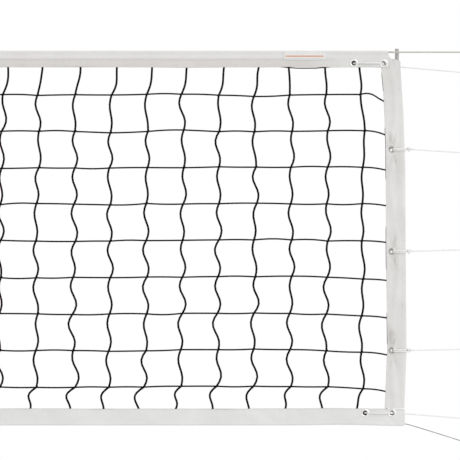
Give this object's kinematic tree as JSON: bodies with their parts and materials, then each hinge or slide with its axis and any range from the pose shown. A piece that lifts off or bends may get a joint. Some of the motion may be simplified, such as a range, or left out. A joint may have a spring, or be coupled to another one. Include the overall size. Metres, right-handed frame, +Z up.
{
  "type": "volleyball net",
  "caption": "Long black netting between folded white bands, with hem cables, spreader rods in side sleeves, grommets and taut tie cords that end in loops.",
  "frame": {"origin": "on the axis of the top cable, halfway along the net", "axes": "X along the net, Y through it with the front at -Y, Z up"},
  "size_m": [10.2394, 0.0299, 1.0839],
  "materials": {
    "band_cloth": "coated woven cloth, matte",
    "netting": "twisted knotted twine, matte",
    "grommet_metal": "nickel plated",
    "label_cloth": "woven patch with one orange stripe",
    "rod_fibreglass": "satin grey",
    "coated_cable": "plastic-coated wire rope",
    "bare_cable": "bare stranded wire rope",
    "ferrule_metal": "crimped, satin",
    "thimble_metal": "zinc plated",
    "tie_cord": "white braided cord"
  },
  "bodies": {
    "net": {"bottom_band": "band_cloth", "bottom_cable": "bare_cable", "bottom_corner_cord_end_knot_left": "tie_cord", "bottom_corner_cord_end_knot_right": "tie_cord", "bottom_corner_cord_left": "tie_cord", "bottom_corner_cord_right": "tie_cord", "bottom_eyelets_left": "grommet_metal", "bottom_eyelets_right": "grommet_metal", "bottom_ferrule_left": "ferrule_metal", "bottom_ferrule_right": "ferrule_metal", "bottom_thimble_left": "thimble_metal", "bottom_thimble_right": "thimble_metal", "bottom_washers_left": "grommet_metal", "bottom_washers_right": "grommet_metal", "label_patch": "label_cloth", "lower_side_cord_end_knot_left": "tie_cord", "lower_side_cord_end_knot_right": "tie_cord", "lower_side_cord_left": "tie_cord", "lower_side_cord_right": "tie_cord", "middle_side_cord_end_knot_left": "tie_cord", "middle_side_cord_end_knot_right": "tie_cord", "middle_side_cord_left": "tie_cord", "middle_side_cord_right": "tie_cord", "net_border_cord": "netting", "net_columns": "netting", "net_rows": "netting", "side_band_left": "band_cloth", "side_band_right": "band_cloth", "side_eyelets_left": "grommet_metal", "side_eyelets_right": "grommet_metal", "side_washers_left": "grommet_metal", "side_washers_right": "grommet_metal", "stopper_knots_left": "tie_cord", "stopper_knots_right": "tie_cord", "tie_knots_left": "tie_cord", "tie_knots_right": "tie_cord", "tie_wraps_left": "tie_cord", "tie_wraps_right": "tie_cord", "top_band": "band_cloth", "top_corner_cord_end_knot_left": "tie_cord", "top_corner_cord_end_knot_right": "tie_cord", "top_corner_cord_left": "tie_cord", "top_corner_cord_right": "tie_cord", "top_eyelets_left": "grommet_metal", "top_eyelets_right": "grommet_metal", "top_washers_left": "grommet_metal", "top_washers_right": "grommet_metal", "upper_side_cord_end_knot_left": "tie_cord", "upper_side_cord_end_knot_right": "tie_cord", "upper_side_cord_left": "tie_cord", "upper_side_cord_right": "tie_cord"},
    "rod_left": {"spreader_rod_left": "rod_fibreglass"},
    "rod_right": {"spreader_rod_right": "rod_fibreglass"},
    "hanging_cable": {"top_cable": "coated_cable", "top_ferrule_left": "ferrule_metal", "top_ferrule_right": "ferrule_metal", "top_thimble_left": "thimble_metal", "top_thimble_right": "thimble_metal"}
  },
  "joints": [
    {"name": "rod_left_slide", "type": "slide", "parent": "net", "child": "rod_left", "axis": [0, 0, 1], "range_m": [0, 0.92]},
    {"name": "rod_right_slide", "type": "slide", "parent": "net", "child": "rod_right", "axis": [0, 0, 1], "range_m": [0, 0.92]},
    {"name": "top_cable_slide", "type": "slide", "parent": "net", "child": "hanging_cable", "axis": [1, 0, 0], "range_m": [-0.1, 0.1]}
  ]
}
